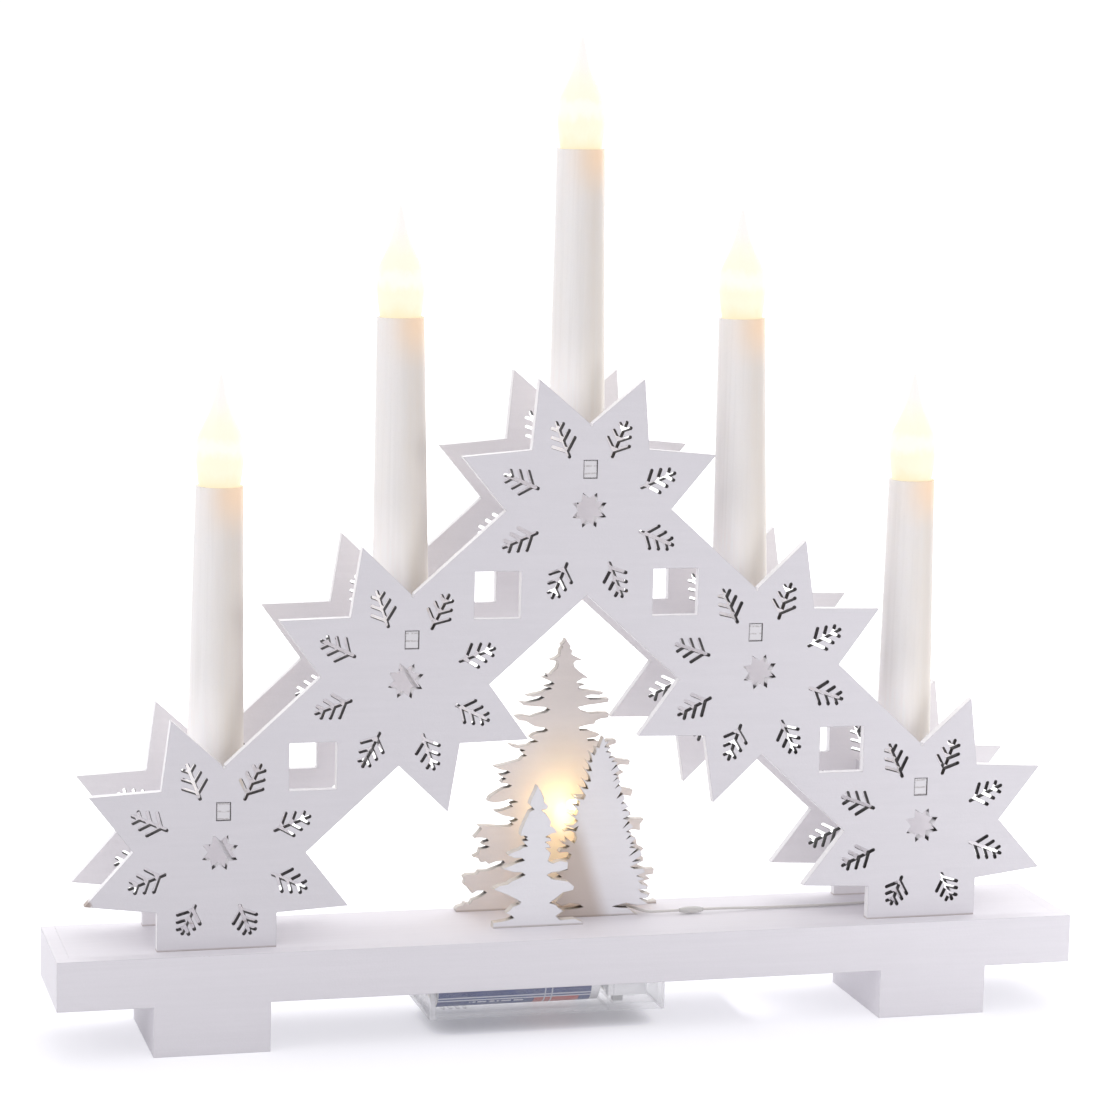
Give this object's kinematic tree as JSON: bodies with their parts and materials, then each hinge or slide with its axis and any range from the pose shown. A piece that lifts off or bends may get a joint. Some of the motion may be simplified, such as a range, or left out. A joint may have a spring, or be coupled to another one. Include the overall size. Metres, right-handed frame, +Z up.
{
  "type": "candle arch",
  "caption": "Wooden candle arch: cut-out star panels on a footed plinth hold electric candles with flame tips, above fir trees, with a clear battery box underneath.",
  "frame": {"origin": "under the middle of the plinth, on the surface that the feet stand on", "axes": "+X along the plinth to the right, +Y from the front to the back, +Z up"},
  "size_m": [0.31, 0.041, 0.2919],
  "materials": {
    "plinth_paint": "white water paint over limewood board, cut edges painted too",
    "panel_paint": "white paint over thin ply, walls of the fine cut-outs left dark from the cutting",
    "shelf_wood": "white paint over ply, dark line round the tenon ends",
    "tree_paint": "white paint over thin ply with dark notch ends",
    "candle_plastic": "ivory moulded plastic, slightly translucent",
    "flame_plastic": "frosted diffuser, lit from inside",
    "plug_plastic": "plain moulded plastic",
    "lamp_lens": "warm light-emitting diode in clear resin",
    "lamp_holder": "plain moulded plastic",
    "wire_sheath": "thin white cable sheath",
    "clear_plastic": "clear moulded plastic",
    "cell_wrap": "plain wrapped cell, blue with a bare silver end",
    "contact_metal": "nickel-plated spring steel",
    "screw_metal": "zinc-plated steel",
    "switch_metal": "folded tinned steel",
    "slider_plastic": "white moulded plastic"
  },
  "bodies": {
    "arch": {"front_plate": "plinth_paint", "back_plate": "plinth_paint", "top_board": "plinth_paint", "left_end_board": "plinth_paint", "right_end_board": "plinth_paint", "left_foot_outer_board": "plinth_paint", "left_foot_inner_board": "plinth_paint", "right_foot_inner_board": "plinth_paint", "right_foot_outer_board": "plinth_paint", "front_star_panel": "panel_paint", "back_star_panel": "panel_paint", "candle_shelf_1": "shelf_wood", "candle_tube_1": "candle_plastic", "flame_bulb_1": "flame_plastic", "candle_plug_1": "plug_plastic", "candle_lamp_1": "lamp_lens", "candle_shelf_2": "shelf_wood", "candle_tube_2": "candle_plastic", "flame_bulb_2": "flame_plastic", "candle_plug_2": "plug_plastic", "candle_lamp_2": "lamp_lens", "candle_shelf_3": "shelf_wood", "candle_tube_3": "candle_plastic", "flame_bulb_3": "flame_plastic", "candle_plug_3": "plug_plastic", "candle_lamp_3": "lamp_lens", "candle_shelf_4": "shelf_wood", "candle_tube_4": "candle_plastic", "flame_bulb_4": "flame_plastic", "candle_plug_4": "plug_plastic", "candle_lamp_4": "lamp_lens", "candle_shelf_5": "shelf_wood", "candle_tube_5": "candle_plastic", "flame_bulb_5": "flame_plastic", "candle_plug_5": "plug_plastic", "candle_lamp_5": "lamp_lens", "candle_leads": "wire_sheath", "tall_tree": "tree_paint", "middle_tree": "tree_paint", "small_tree": "tree_paint", "tree_lamp": "lamp_lens", "tree_lamp_holder": "lamp_holder", "tree_wire": "wire_sheath", "harness_left": "wire_sheath", "harness_right": "wire_sheath", "lead_drops": "wire_sheath", "wire_sleeve": "clear_plastic", "battery_box": "clear_plastic", "battery_cell_front": "cell_wrap", "battery_cell_back": "cell_wrap", "contact_plates": "contact_metal", "contact_springs": "contact_metal", "box_screws": "screw_metal", "switch_body": "switch_metal"},
    "cover": {"battery_cover": "clear_plastic"},
    "slider": {"switch_slider": "slider_plastic"}
  },
  "joints": [
    {"name": "cover_slide", "type": "slide", "parent": "arch", "child": "cover", "axis": [-1, 0, 0], "range_m": [0, 0.045]},
    {"name": "switch_slide", "type": "slide", "parent": "arch", "child": "slider", "axis": [1, 0, 0], "range_m": [0, 0.003]}
  ]
}
